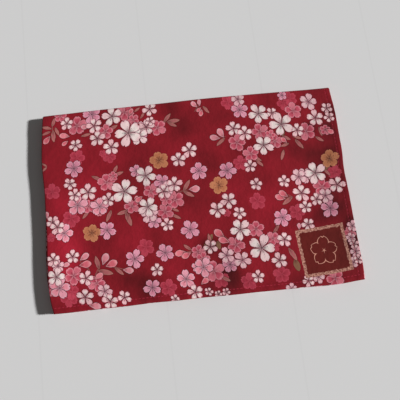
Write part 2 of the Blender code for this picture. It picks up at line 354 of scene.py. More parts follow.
# Chart of the print: millimetres from the near left corner of the top panel.
# Each blossom is (x, y, radius) or (x, y, radius, turn in degrees).
GHOSTS = [
    (24.7, 114, 6.5), (49, 112.5, 5.5), (44, 115.5, 3), (143.5, 147, 6), (187, 142, 6), (192.5, 145.5, 6),
    (5, 89.5, 6.5, 20), (17.2, 67.7, 7, 60), (146.5, 97, 6), (155.3, 66, 6.8, 90), (216.5, 82, 6),
    (183.5, 54.5, 6.5), (69.5, 40.5, 6.8, 40), (83, 9.3, 6.5, 75), (141.5, 7.2, 6.5, 10), (12, 9.8, 6.5),
    (14.5, 14, 6), (165.8, 9.5, 6.8, 88), (121, 11, 6.5), (1.8, 55, 3.5), (163.5, 31.5, 5),
    (131.5, 59.5, 3.2),
]
ROSES = [
    (26.5, 139.8, 7.8, 16), (47.5, 133, 6.5, 80), (63.5, 147, 7.5), (69.5, 140, 5), (87.4, 131.9, 7, 38),
    (165, 120.5, 7), (146.2, 113.4, 7.2, 4), (155.5, 103.5, 6.5), (175.3, 111.5, 6.3), (193.5, 135, 7, 20),
    (200.9, 117, 7.4, 30), (38.2, 74, 7, 50), (45.2, 92.6, 7.2, 95), (77, 82.4, 6.3), (94.4, 73.8, 7.2, 36),
    (86.3, 65.3, 6.5), (62, 72.3, 6), (205.3, 71.8, 7.3, 85), (1.3, 18, 6.5), (16.3, 25.6, 7.2, 54),
    (32.3, 18.5, 6.8, 60), (107.2, 33, 5.5), (117.2, 17.5, 8, 95), (135.5, 35, 7), (151.5, 45.2, 6.5, 85),
    (163.2, 36.6, 5.5), (204, 2.4, 7), (221, 35, 5), (30.5, 75.5, 5.5), (88, 75, 5.5), (50.3, 96.8, 4),
    (215.5, 116.8, 4.5), (110, 27.5, 5.5), (172.5, 117, 4.5), (14.6, 148.6, 5.4, 10),
]
LILACS = [
    (21.7, 105.8, 7.2, 54), (152, 139.8, 7, 88), (42.5, 56.3, 7, 49), (86, 88.5, 6.5), (114.5, 94, 7.2, 90),
    (135.8, 92.2, 7.2, 62), (103, 50, 7.4, 40), (172.1, 51.4, 7.2, 69), (208.8, 54.8, 7.4, 16),
    (77.3, 59, 5.5), (60.8, 32.8, 7.2, 69), (83.2, 34.9, 7, 40), (71.5, 10.6, 6.6, 44), (77, 131, 6.5),
    (129.3, 21, 6, 23), (186.7, 148.5, 4, 27), (67.8, 99, 5.5, 8), (38.5, 147.8, 7.5, 30),
]
PINKS = [
    (5.8, 17.9, 8, 75), (105.5, 22, 4.5, 12), (11.5, 57.3, 7.2, 68), (109.8, 21.2, 7.6, 60),
    (96.3, 14, 7, 90), (22.5, 77.3, 8, 12), (38.6, 74.6, 7.2, 14),
]
GOLDS = [
    (85.7, 105.7, 7.5, 100), (31.3, 55.4, 7, 75), (128.2, 81.4, 7.2, 30), (214.8, 93.3, 7.5, 90),
]
PALES = [
    (151.8, 148.8, 5.8, 30), (206.4, 141.1, 7.2, 0), (194, 82.2, 6.3), (206.6, 64.8, 6.2),
    (74.2, 64.8, 7, 20), (188.8, 81.5, 6.6, 40), (138.7, 23.2, 6.6, 57), (127.7, 28, 6.2, 31),
    (219.5, 12.5, 4.5), (171, -1.8, 4.5), (223.5, 39.5, 4.5), (192, 4.6, 5), (91, 84, 5.5), (72.5, 133, 6),
    (37.5, 12, 5.6, 60), (5.6, 33.8, 5, 90), (222.8, 20.5, 4.5), (221, 31, 4),
]
WHITES = [
    (24.3, 124.3, 5.2, 55), (19.1, 142.2, 5.3, 18), (39.5, 138.5, 6.3, 30), (41, 128, 6.5, 90),
    (50.9, 119.9, 6.5, 20), (78.9, 133.2, 6.8, 88), (82.8, 147.5, 6, 44), (109.4, 111.4, 6.5, 90),
    (100.3, 104.8, 6.2, 15), (145.1, 125.2, 6.2, 24), (153.3, 120.4, 6.3, 90), (176.6, 134.8, 4.8, 54),
    (194, 118.8, 5.8, 90), (209.6, 127.3, 7, 20), (219.8, 134.2, 4.8), (220.4, 126.8, 4.6),
    (18.2, 94.1, 5, 50), (21, 85.3, 5.2, 6), (31, 86.4, 6.8, 90), (45.3, 79.3, 5.4, 8),
    (82.2, 137.8, 4, 60), (86.6, 81.1, 6.3, 20), (94.9, 85.7, 6.4, 84), (86.7, 55.6, 5.2, 24),
    (3.8, 66.4, 5.2, 50), (7, 62.4, 5.8, 20), (133.7, 68.8, 6.6, 51), (124.6, 62.6, 6.5, 50),
    (140.7, 58.4, 5.2, 50), (155.9, 79.2, 5, 78), (153.5, 93.9, 5.2, 15), (177.2, 79.3, 5, 81),
    (216.8, 72.2, 6.8, 70), (189.1, 68.7, 7, 86), (199.7, 62.8, 5.2, 18), (190.7, 57.8, 5.2, 20),
    (2.6, 38.8, 5.2, 90), (16.5, 39.4, 5.3, 90), (25, 22.8, 5.6, 69), (23.4, 9.4, 6.4, 82),
    (40.7, 4.3, 6, 84), (51, 6.2, 5.2, 39), (76.2, 23.2, 5, 86), (101.8, 4, 6, 28), (111.5, 3.2, 3.2),
    (123.8, 1.8, 3.2), (116.6, 35.6, 5.6, 43), (165.8, 20, 6.2, 32), (148.4, 9.9, 5, 85),
    (171.6, 35, 5.8, 12), (190.6, 44.3, 5.3, 38), (184.3, 2.3, 4.8, 40), (222.6, 26, 3.6),
    (223.6, 14.5, 3.8), (86.8, 0.8, 3.6), (118, 0.8, 3),
]
LARGE_WHITES = [
    (53.7, 144.7, 8, 27), (72.5, 126.5, 7.5, 100), (166, 135.3, 8.4, 45), (166.1, 109.3, 8.2, 48),
    (74.3, 94.6, 8.4, 57), (73.7, 70.4, 8, 60), (201.9, 83.2, 9, 34), (3.9, 26, 6.9, 1),
    (139.9, 46, 8.4, 43), (64.8, 130, 11, 36), (182.4, 125, 10, 37), (57.4, 84.2, 10.2, 2),
    (154, 30.5, 10.4, 67),
]
# Each bud, leaf and stem is (x, y) of its base, then (x, y) of its tip.
PALE_BUDS = [
    (119.5, 145.5, 115, 150.5), (121.5, 146, 121.4, 151.5), (21.5, 36, 28, 40.5), (37.5, 31, 41.3, 39.4),
    (51.5, 26, 59.5, 24.3), (105, 80.5, 114.2, 80.5), (25.5, 3, 34, 1.4), (136.8, 118.6, 133, 126.2),
    (134, 118.4, 126, 120.2), (8, 33.5, 14, 34.5), (183.5, 41, 184, 46), (36, 138, 29, 138.8),
    (0.2, 69.5, -0.4, 75),
]
ROSE_BUDS = [
    (30.5, 21.5, 37, 24.8), (39.5, 29.5, 48.6, 32.6), (98.5, 34, 90.2, 33), (20.5, 32.5, 30, 33.2),
    (102, 33, 94.5, 29.8), (127.5, 41.5, 120.3, 47.8), (122.5, 145, 118.6, 141.8),
    (122.8, 143.5, 121.2, 137.6), (19, 128.5, 14.4, 125.2), (20.5, 131.8, 12.8, 133.6),
    (66.5, 144, 69.5, 149.5), (184.5, 109.5, 180, 114), (176.5, 65.5, 168.5, 68.5), (178.5, 67, 172, 72),
    (66.5, 74, 66, 80.5), (216, 117, 222, 113.5), (131, 37.5, 123, 40.8), (106.5, 9, 112.5, 13),
    (6, 133.5, 1, 127.5), (70.5, 79, 64.8, 75.2),
]
LEAVES = [
    (7.5, 139, 0, 141.2), (6.5, 136.8, 0, 135), (8.3, 138, 9.2, 127.8), (10, 140, 13, 133.5),
    (8, 140.5, 9.8, 148), (71, 146.5, 75.5, 149.8), (75, 140.5, 78.5, 145.5), (92.5, 135.9, 98.5, 142.5),
    (95, 135.8, 105.5, 136.3), (95.5, 135, 102.5, 131.4), (124, 146, 128.2, 140), (137.6, 118.4, 131, 113),
    (181.5, 115.5, 188, 111.6), (189.5, 114.5, 196, 112), (191, 111.5, 196.5, 103.8),
    (186, 108.8, 179.5, 107), (181, 104.2, 178.3, 96.6), (211, 119.5, 212.5, 112.5), (207, 112, 213, 107.8),
    (34.5, 98.5, 41.5, 94.5), (50.5, 98.5, 54.5, 105.2), (51, 97.3, 58.5, 99.5), (46.8, 71, 42.6, 62.8),
    (30.5, 72, 25.5, 67), (59, 69.3, 50.5, 67.2), (57, 68.5, 60.6, 57.4), (91.5, 67.2, 96.5, 64.5),
    (90.5, 63, 96.8, 59.2), (101, 79.5, 106.5, 87.6), (101, 79.5, 108.5, 74.8), (156.5, 101.5, 162.5, 97.5),
    (158.5, 98.5, 163.5, 93), (208, 88.5, 214.5, 86.5), (209, 85.5, 213, 80), (181.8, 66.5, 173.2, 61.2),
    (34.8, 28, 32.8, 38.2), (33.8, 27.4, 45.2, 23.6), (46, 28, 52, 22.5), (102.5, 34.8, 97, 39.4),
    (117, 37.5, 116, 45.5), (164, 40.5, 168.8, 46), (173.8, 28.4, 178.8, 18.4), (-1.5, 106, 2.2, 109.4),
    (-1.5, 112.5, 2.2, 109.4), (29, 131.2, 36, 132), (49, 133.2, 57.2, 137.2), (121.5, 13, 128.5, 9),
]
OLIVES = [
    (177, 19.6, 178.9, 10.4), (116, 40, 119, 45), (112.5, 33, 115, 40), (213, 88, 208.5, 84.5),
    (184, 120, 181.5, 115.5), (122, 39.5, 123.5, 33), (216, 26, 214.5, 21.5),
]
STEMS = [
    (117, 142, 123, 149.5), (92, 135.7, 97, 136), (138.5, 119.5, 131, 119), (182, 66.5, 174, 66.8),
    (182, 66.5, 176.5, 69.5), (97, 79.5, 106.5, 80.3), (31.5, 24, 36, 32), (44, 29, 53.5, 26),
    (108, 33, 97, 34.3), (133, 36, 127, 43), (28, 28, 20, 37.5), (166.5, 48, 167.5, 41), (8, 141, 9, 134),
    (198, 117, 190, 114), (60.5, 68, 57.5, 62), (107, 9, 113, 14.5),
]
FILLERS = [               # blossoms of the repeat that take the mark's place on the other panels
    (188, 33, 7), (200, 27, 8), (210, 35, 6), (193, 16, 6), (207, 14, 7), (216, 22, 5),
]
PRINT_SHIFT = (-0.6, 0.37, 0.9955, 0.9918)   # chart to stack: offsets in mm, then scales
PRINT_SKEW, PRINT_SKEW_FROM = 0.00006, 130   # the print lies a little askew on the folds
PRINT_NUDGE = -0.1        # mm across, once the chart is on the stack
REPEAT = (225.0, 150.0)
LOWER_PLY_DROP = 75.0
REPEAT_GAP = 1.5          # motifs of the repeats on the lower ply start this far beyond the fold in half
FILLER_TURN = 23          # degrees from each of the fillers to the next

# Looks of the print: share of light given back, written as the colour seen in daylight
SLOTS = 5
KINDS = [
    # name, petals, half width, swell, notch, opacity, stamens, outline, throat, body, tip
    ("white", 5, 0.312, 1.80, 0.12, 1.00, 1.0, 1.0, (104, 82, 80), (240, 206, 203), (250, 138, 154)),
    ("large white", 5, 0.308, 1.65, 0.13, 1.00, 1.0, 1.0, (98, 92, 88), (234, 210, 206), (246, 166, 176)),
    ("pale", 5, 0.335, 1.70, 0.13, 1.00, 0.9, 1.0, (110, 76, 84), (216, 180, 182), (236, 152, 168)),
    ("pink", 5, 0.340, 1.65, 0.13, 1.00, 0.8, 1.0, (128, 52, 68), (222, 136, 150), (250, 176, 190)),
    ("lilac", 5, 0.335, 1.65, 0.13, 1.00, 0.9, 1.0, (116, 50, 74), (206, 128, 148), (244, 164, 182)),
    ("rose", 5, 0.365, 1.55, 0.11, 0.96, 0.6, 0.8, (120, 34, 48), (184, 74, 92), (246, 144, 156)),
    ("ghost", 5, 0.375, 1.50, 0.13, 0.76, 0.3, 0.2, (140, 34, 48), (172, 54, 72), (204, 78, 98)),
    ("gold", 5, 0.390, 1.50, 0.12, 0.95, 1.0, 0.4, (112, 56, 38), (178, 110, 76), (200, 132, 96)),
    ("pale bud", 1, 0.280, 1.50, 0.05, 1.00, 0.0, 1.0, (132, 56, 62), (206, 124, 134), (236, 166, 174)),
    ("rose bud", 1, 0.270, 1.45, 0.05, 1.00, 0.0, 1.0, (118, 48, 54), (202, 96, 108), (244, 152, 158)),
    ("leaf", 1, 0.150, 1.00, 0.00, 0.95, 0.0, 0.6, (110, 58, 60), (166, 92, 94), (172, 114, 104)),
    ("olive", 1, 0.240, 1.00, 0.00, 0.80, 0.0, 0.5, (104, 70, 54), (134, 98, 72), (140, 106, 78)),
    ("stem", 1, 0.045, 0.60, 0.00, 0.90, 0.0, 0.2, (110, 60, 60), (120, 58, 58), (150, 84, 80)),
    ("line", 5, 0.400, 1.30, 0.10, 0.00, 0.0, 0.0, (204, 142, 124), (204, 142, 124), (204, 142, 124)),
]
KIND_NUMBER = {row[0]: number + 1 for number, row in enumerate(KINDS)}
CHARTS = [                # lowest first
    ("ghost", GHOSTS), ("olive", OLIVES), ("leaf", LEAVES), ("stem", STEMS), ("rose", ROSES),
    ("rose bud", ROSE_BUDS), ("lilac", LILACS), ("pink", PINKS), ("pale bud", PALE_BUDS), ("gold", GOLDS),
    ("pale", PALES), ("white", WHITES), ("large white", LARGE_WHITES),
]
PAINT_ORDER = {KIND_NUMBER[name]: order for order, (name, chart) in enumerate(CHARTS)}
KIND_SCALE = 16
MOST_PETALS, MOST_SWELL = 8, 2            # petals and swell are kept as shares of these
PETAL_LEAN, PETAL_TURN = 137.5, 72        # degrees on from row to row where no turn is given, within this
TONE_FROM, TONE_RANGE = 0.93, 0.14
GOLDEN = 0.618                            # share that spreads tones and petals evenly
SHADE_SPREAD = 0.72
LIST_MARGIN, LIST_SHARE = 0.62, 0.17      # a face lists the motifs this near, in mm and in its spans
LIST_RADIUS = 1.1
OPAQUE, COVERED_FROM = 0.99, 0.55         # nothing shows under an opaque motif, from this many mm inside it
FACE_SAMPLES = 5
OUTLINE = (0.72, 0.06)    # mm outside a motif where its dark edge fades in and out
OUTLINE_DARK, STAMEN_DARK = (0.030, 0.005, 0.007, 1.0), (0.03, 0.012, 0.016, 1.0)
WEAVE_PITCH = 0.42        # mm between threads
MARK = (199.7, 23.6, 17.9, 17.4, 3.7)     # middle, half sides and turn of the square in the corner
MARK_BORDER = 2.3
MARK_BLOSSOM = (11.0, math.radians(88), 1.0)
GROUND_DYES = [(0.00, (64, 9, 13)), (0.25, (96, 13, 20)), (0.50, (131, 20, 32)), (0.75, (153, 25, 42)),
               (1.00, (174, 37, 59))]
SHADE_SPOTS = [           # (x, y, radius, shade): lighter and darker places over the printed face; they set the ground's colour and also darken or lighten the blossoms
    (13, 49, 18, 0.60), (20, 105, 24, 0.15), (65, 52, 16, 0.15), (158, 65, 18, 0.20), (14, 75, 16, 0.35),
    (106, 128, 14, -0.45), (129, 10, 12, -0.55), (58, 18, 14, -0.35), (66, 5, 8, -0.15),
    (125, 97, 14, -0.25), (213, 101, 14, -0.35), (219, 55, 11, -0.45), (200, 50, 9, -0.30),
    (211, 27, 14, -0.45), (190, 104, 10, -0.20), (95, 120, 12, -0.15), (100, 147, 10, -0.25),
    (60, 108, 14, 0.10), (88, 22, 8, 0.20), (112, 62, 10, 0.05), (220, 112, 9, -0.35), (200, 98, 8, -0.25),
    (170, 147, 12, -0.20), (45, 48, 8, -0.20), (176, 5, 9, -0.35), (214, 74, 20, -0.35),
    (212, 14, 16, -0.30), (98, 74, 14, -0.25), (70, 14, 14, -0.20), (126, 16, 16, -0.25),
    (98, 138, 13, -0.30), (150, 106, 14, -0.10), (44, 138, 16, -0.15), (216, 93, 9, -0.60),
    (10, 24, 16, 0.80), (30, 84, 14, 0.50), (222, 30, 11, -0.90), (203, 119, 7, -0.90),
    (216, 117, 6, -0.80), (221, 130, 9, -0.80), (208, 55, 9, -0.80), (71, 11, 8, -0.60),
    (190, 43, 6, -0.40), (203, 83, 9, -0.40), (117, 36, 7, -1.30), (129, 20, 7, -0.90), (118, 16, 8, -0.50),
    (127, 28, 7, -0.40), (207, 65, 7, -0.60), (187, 146, 8, -0.30), (112, 4, 6, -0.50), (204, 3, 8, -0.40),
    (223, 42, 8, -0.90), (223, 18, 8, -0.60), (100, 95, 8, -0.30), (160, 4, 7, -0.30), (20, 42, 12, 0.40),
]


def chart_rows():
    """Every motif of the chart as (kind, x, y, radius, turn), the lowest first."""
    rows = []
    for name, chart in CHARTS:
        for index, row in enumerate(chart):
            if KINDS[KIND_NUMBER[name] - 1][1] == 1:
                x, y, tip_x, tip_y = row
                radius, turn = math.hypot(tip_x - x, tip_y - y), math.atan2(tip_y - y, tip_x - x)
            else:
                x, y, radius = row[:3]
                turn = math.radians(row[3] if len(row) > 3 else PETAL_LEAN * (index + 1) % PETAL_TURN)
            rows.append((KIND_NUMBER[name], x, y, radius, turn))
    return rows


def on_stack(x, y):
    """Place of a chart point on the straight stack, in millimetres."""
    x = PRINT_SHIFT[0] + (PRINT_SHIFT[2] + PRINT_SKEW * (PRINT_SKEW_FROM - y)) * x
    y = PRINT_SHIFT[1] + PRINT_SHIFT[3] * y
    left = (read_edge(LEFT_EDGE, y * MM) + read_edge(TOP_FOLD_SETBACK, y * MM)) / MM
    right = read_edge(RIGHT_EDGE, y * MM) / MM
    near = read_edge(NEAR_EDGE, x * MM) / MM
    far = read_edge(FAR_EDGE, x * MM) / MM
    return (x - left) / (right - left) * WIDTH / MM, (y - near) / (far - near) * LENGTH / MM


def printed_motifs():
    """The whole sheet's motifs on its own flat millimetres, lowest first: kind, x, y, radius, turn."""
    chart = []
    for kind, x, y, radius, turn in chart_rows():
        stack_x, stack_y = on_stack(x, y)
        chart.append((kind, float(stack_x) + PRINT_NUDGE, float(stack_y), radius, turn))
    fillers = [(KIND_NUMBER["pale"], x, y, radius, math.radians(FILLER_TURN * index))
               for index, (x, y, radius) in enumerate(FILLERS)]
    sheet = []
    for column in (-1, 0):
        for row in (-1, 0, 1, 2):
            if (column, row) == (0, 0):
                sheet += chart
                continue
            for kind, x, y, radius, turn in chart + fillers:
                x += column * REPEAT[0]
                y += row * REPEAT[1] + (LOWER_PLY_DROP if column else 0.0)
                if x + radius < -REPEAT_GAP or y + radius < 0 or y - radius > REPEAT[1]:
                    sheet.append((kind, x, y, radius, turn))
    return sorted(sheet, key=lambda motif: PAINT_ORDER[motif[0]])


def motif_field(kind, radius, turn, dx, dy):
    """How far inside a motif's outline a point lies, in millimetres, for listing what a face shows."""
    _, petals, width, swell, notch = KINDS[kind - 1][:5]
    angle = np.arctan2(dy, dx) - turn
    half = math.pi / petals
    wrapped = (angle + half) % (2 * half) - half
    rho = np.hypot(dx, dy) / radius
    along, aside = rho * np.cos(wrapped), rho * np.abs(np.sin(wrapped))
    inside = np.clip(along, 0.0, 1.0)
    outline = width * np.sin(math.pi * inside ** swell) ** 0.7 - aside
    outline = outline - np.maximum(along - 1, 0) - np.maximum(-along, 0)
    return outline * radius


def list_motifs(centres, spans):
    """For each face, the few motifs that show on it, topmost first: rows of spot and form vectors."""
    count = len(centres)
    spots = np.zeros((SLOTS, count, 3), np.float32)
    forms = np.zeros((SLOTS, count, 3), np.float32)
    forms[:, :, 0] = 1.0
    used = np.zeros(count, int)
    steps = np.arange(FACE_SAMPLES) / (FACE_SAMPLES - 1) - 0.5
    shift = np.stack(np.meshgrid(steps, steps), axis=-1).reshape(-1, 2)
    points = centres[:, None, :] + shift[None] * spans[:, None, :]
    bare = np.ones(points.shape[:2], bool)
    reach = LIST_MARGIN + LIST_SHARE * spans.max(axis=1)
    for number, (kind, x, y, radius, turn) in enumerate(reversed(printed_motifs())):
        size = radius * LIST_RADIUS + reach + spans.max(axis=1) / 2
        near = np.nonzero((np.abs(centres[:, 0] - x) < size) & (np.abs(centres[:, 1] - y) < size))[0]
        if len(near) == 0:
            continue
        field = motif_field(kind, radius, turn, points[near, :, 0] - x, points[near, :, 1] - y)
        shows = (bare[near] & (field > -reach[near, None])).any(axis=1) & (used[near] < SLOTS)
        if KINDS[kind - 1][5] >= OPAQUE:
            bare[near] &= field < COVERED_FROM
        faces = near[shows]
        tone = TONE_FROM + TONE_RANGE * ((number * GOLDEN) % 1)
        spots[used[faces], faces] = (x, y, kind)
        forms[used[faces], faces] = (radius, turn, tone)
        used[faces] += 1
    return spots, forms


def shade_of_ground(x, y):
    """Lighter and darker places over the printed face, at sheet places in millimetres, about -1 to 1."""
    y = y + np.where(x < 0, LOWER_PLY_DROP, 0.0)
    x, y = x % REPEAT[0], y % REPEAT[1]
    shade = np.zeros_like(x)
    for spot_x, spot_y, radius, amount in SHADE_SPOTS:
        away = (x - spot_x) ** 2 + (y - spot_y) ** 2
        shade = shade + amount * np.exp(-away / (SHADE_SPREAD * radius) ** 2)
    return shade


def grid_faces(rows, columns, first=0):
    """Corner numbers of the quads of a grid of points, in order round each quad."""
    corner = first + (np.arange(rows - 1)[:, None] * columns + np.arange(columns - 1)).reshape(-1)
    return np.stack([corner, corner + 1, corner + columns + 1, corner + columns], axis=1)


def round_the_edge(place, run, turned_in):
    """Map of the cloth at corners of faces; on the hems' turned-in side the print goes on round the edge."""
    turned_in = turned_in[:, None]
    middle_place, middle_run = place.mean(axis=1)[:, None], run.mean(axis=1)[:, None]
    over_upper = turned_in & (middle_place + UPPER_END < HEM_WIDTH)
    over_lower = turned_in & (LOWER_END - middle_place < HEM_WIDTH)
    over_start = turned_in & (middle_run < HEM_WIDTH)
    over_end = turned_in & (RUN_END - middle_run < HEM_WIDTH)
    place = np.where(over_upper, -2 * UPPER_END - place, np.where(over_lower, 2 * LOWER_END - place, place))
    run = np.where(over_start, -run, np.where(over_end, 2 * RUN_END - run, run))
    return -place, RUN_END - run


def rim_faces(wide, deep):
    """Quads that close the sheet between its two faces, as one list for each edge."""
    size = wide * deep
    near_row, first_column = np.arange(wide), np.arange(deep) * wide
    far_row, last_column = near_row + (deep - 1) * wide, first_column + wide - 1
    lines = (near_row[::-1], last_column[::-1], far_row, first_column)
    return [np.stack([line[:-1], line[1:], line[1:] + size, line[:-1] + size], axis=1) for line in lines]


def spread(values, low, high, start, end):
    """Carry values from between low and high to between start and end."""
    return start + (end - start) * (values - low) / (high - low)


def baked_places(at_place, at_run, printed, rims):
    """Place in the baked picture of each corner of each face: printed, then reverse, then rims."""
    place, run = at_place.mean(axis=1), at_run.mean(axis=1)
    order = np.arange(len(place))
    on_print, on_reverse = order < printed, (order >= printed) & (order < 2 * printed)
    top = on_print & (place < HALF_PLY_TURN) & (run > FAR_TURN_START)
    underside = on_print & (place > -HALF_PLY_TURN) & (run < MIDDLE_START)
    chosen = (on_print & ~top & ~underside, top, underside, on_reverse)
    baked = np.zeros(at_place.shape + (2,))
    for faces, (_, place_0, place_1, run_0, run_1, left, right, low, high) in zip(chosen, BAKED_PARTS):
        baked[faces, :, 0] = spread(at_place[faces], place_0, place_1, left, right)
        baked[faces, :, 1] = spread(at_run[faces], run_0, run_1, low, high)
    start = 2 * printed
    for index, rim in enumerate(rims):
        ends = BAKED_RIM_LEFT + BAKED_RIM_PITCH * index + BAKED_RIM_WIDTH * np.arange(len(rim) + 1) / len(rim)
        strip = baked[start:start + len(rim)]
        strip[:, (0, 3), 0], strip[:, (1, 2), 0] = ends[:-1, None], ends[1:, None]
        strip[:, :2, 1], strip[:, 2:, 1] = BAKED_RIM_LOW, BAKED_RIM_HIGH
        start += len(rim)
    return baked


def sheet_mesh():
    """The whole cloth as one thin closed sheet, with its maps and the list of what each face shows."""
    columns, rows = column_places(), row_places()
    place, run = [grid.reshape(-1) for grid in np.meshgrid(columns, rows)]
    points = np.concatenate([np.stack(folded_points(place, run, side), axis=1) for side in (1.0, -1.0)])
    printed = grid_faces(len(rows), len(columns))
    reverse = grid_faces(len(rows), len(columns), len(place))[:, ::-1]
    rims = rim_faces(len(columns), len(rows))
    quads = np.concatenate([printed, reverse] + rims)

    low, high = points.min(axis=0), points.max(axis=0)
    shift = np.append((low + high)[:2] / 2, low[2])
    mesh = bpy.data.meshes.new("cloth")
    mesh.from_pydata((points - shift).tolist(), [], quads.tolist())
    mesh.polygons.foreach_set("use_smooth", np.ones(len(quads), bool))

    place, run = np.tile(place, 2), np.tile(run, 2)
    at_place, at_run = place[quads], run[quads]
    order = np.arange(len(quads))
    inside = (order >= len(printed)) & (order < len(printed) + len(reverse))
    to_edge = edge_distance(at_place.mean(axis=1), at_run.mean(axis=1))
    turned_in = inside & (to_edge < HEM_WIDTH)
    cloth_map = np.stack(round_the_edge(at_place, at_run, turned_in), axis=-1)
    baked = baked_places(at_place, at_run, len(printed), rims)
    for name, values in (("cloth", cloth_map), ("OFBake", baked)):
        mesh.uv_layers.new(name=name).uv.foreach_set("vector", values.astype(np.float32).reshape(-1))

    centres = cloth_map.mean(axis=1) / MM
    spans = (cloth_map.max(axis=1) - cloth_map.min(axis=1)) / MM
    for name, slots in zip(("spot", "form"), list_motifs(centres, spans)):
        for slot, values in enumerate(slots):
            layer = mesh.attributes.new(f"{name}_{slot}", "FLOAT_VECTOR", "FACE")
            layer.data.foreach_set("vector", values.reshape(-1))
    shade = shade_of_ground(-place / MM, (RUN_END - run) / MM)
    mesh.attributes.new("shade", "FLOAT", "POINT").data.foreach_set("value", shade.astype(np.float32))
    mesh.polygons.foreach_set("material_index", (inside & ~turned_in).astype(np.int32))
    return mesh, shift


def linear(colour, lit=0.80):
    """Share of light given back, from a colour as it shows under a light that whitens to lit."""
    share = [channel / 255 for channel in colour]
    share = [value / 12.92 if value < 0.04045 else ((value + 0.055) / 1.055) ** 2.4 for value in share]
    return tuple(min(value / lit, 0.96) for value in share) + (1.0,)


class Value:
    """One output of a node. Sums of values are written as sums, and add the nodes for them."""

    def __init__(self, nodes, socket):
        self.nodes = nodes
        self.socket = socket

    def __add__(self, other):
        return self.nodes.math("ADD", self, other)

    def __sub__(self, other):
        return self.nodes.math("SUBTRACT", self, other)

    def __rsub__(self, other):
        return self.nodes.math("SUBTRACT", other, self)

    def __mul__(self, other):
        return self.nodes.math("MULTIPLY", self, other)

    def __truediv__(self, other):
        return self.nodes.math("DIVIDE", self, other)

    def __rtruediv__(self, other):
        return self.nodes.math("DIVIDE", other, self)


class Nodes:
    """Short ways to add nodes to one tree. An input is a value to link or a constant to set."""

    def __init__(self, tree):
        self.tree = tree

    def add(self, kind, inputs=(), **settings):
        node = self.tree.nodes.new(kind)
        for name, setting in settings.items():
            setattr(node, name, setting)
        for key, value in dict(inputs).items():
            if isinstance(value, Value):
                self.tree.links.new(value.socket, node.inputs[key])
            else:
                node.inputs[key].default_value = value
        return node

    def outs(self, kind, names, inputs=(), **settings):
        outputs = self.add(kind, inputs, **settings).outputs
        return [Value(self, outputs[name]) for name in names]

    def out(self, kind, inputs=(), output=0, **settings):
        return self.outs(kind, [output], inputs, **settings)[0]

    def math(self, operation, *values):
        return self.out("ShaderNodeMath", enumerate(values), operation=operation)

    def fit(self, value, factor, offset):
        return self.math("MULTIPLY_ADD", value, factor, offset)

    def smooth(self, value, low, high, start=0.0, end=1.0):
        inputs = {0: value, 1: low, 2: high, 3: start, 4: end}
        return self.out("ShaderNodeMapRange", inputs, interpolation_type="SMOOTHSTEP")

    def mix(self, share, first, second, blend="MIX"):
        inputs = {0: share, 6: first, 7: second}
        return self.out("ShaderNodeMix", inputs, 2, data_type="RGBA", blend_type=blend)

    def vector(self, operation, *values):
        return self.out("ShaderNodeVectorMath", enumerate(values), operation=operation)

    def scale(self, vector, factor):
        return self.out("ShaderNodeVectorMath", {0: vector, "Scale": factor}, operation="SCALE")

    def split(self, vector):
        return self.outs("ShaderNodeSeparateXYZ", "XYZ", {0: vector})

    def join(self, x, y, z=0.0):
        return self.out("ShaderNodeCombineXYZ", {0: x, 1: y, 2: z})

    def ramp(self, value, stops, interpolation="LINEAR"):
        node = self.add("ShaderNodeValToRGB", {0: value})
        node.color_ramp.interpolation = interpolation
        elements = node.color_ramp.elements
        while len(elements) < len(stops):
            elements.new(0.5)
        for element, (position, colour) in zip(elements, stops):
            element.position = position
            element.color = tuple(colour) + (1.0,) * (4 - len(colour))
        return Value(self, node.outputs[0])

    def noise(self, vector, scale, detail=2.0, roughness=0.5):
        inputs = {"Vector": vector, "Scale": scale, "Detail": detail, "Roughness": roughness}
        return self.out("ShaderNodeTexNoise", inputs, "Fac")


def new_group(name, kind, inputs, output):
    """An empty node group with its inputs and its output, each as (name, kind of socket)."""
    tree = bpy.data.node_groups.new(name, kind)
    for label, socket in inputs:
        tree.interface.new_socket(label, in_out="INPUT", socket_type="NodeSocket" + socket)
    tree.interface.new_socket(output[0], in_out="OUTPUT", socket_type="NodeSocket" + output[1])
    nodes = Nodes(tree)
    return tree, nodes, nodes.outs("NodeGroupInput", [label for label, socket in inputs])


def style(nodes, key, columns):
    """Look up values of the kind that key names; key is the kind's number over KIND_SCALE."""
    stops = [(0.0, (0, 0, 0))]
    for number, row in enumerate(KINDS):
        stops.append(((number + 0.5) / KIND_SCALE, columns(row)))
    return nodes.ramp(key, stops, "CONSTANT")


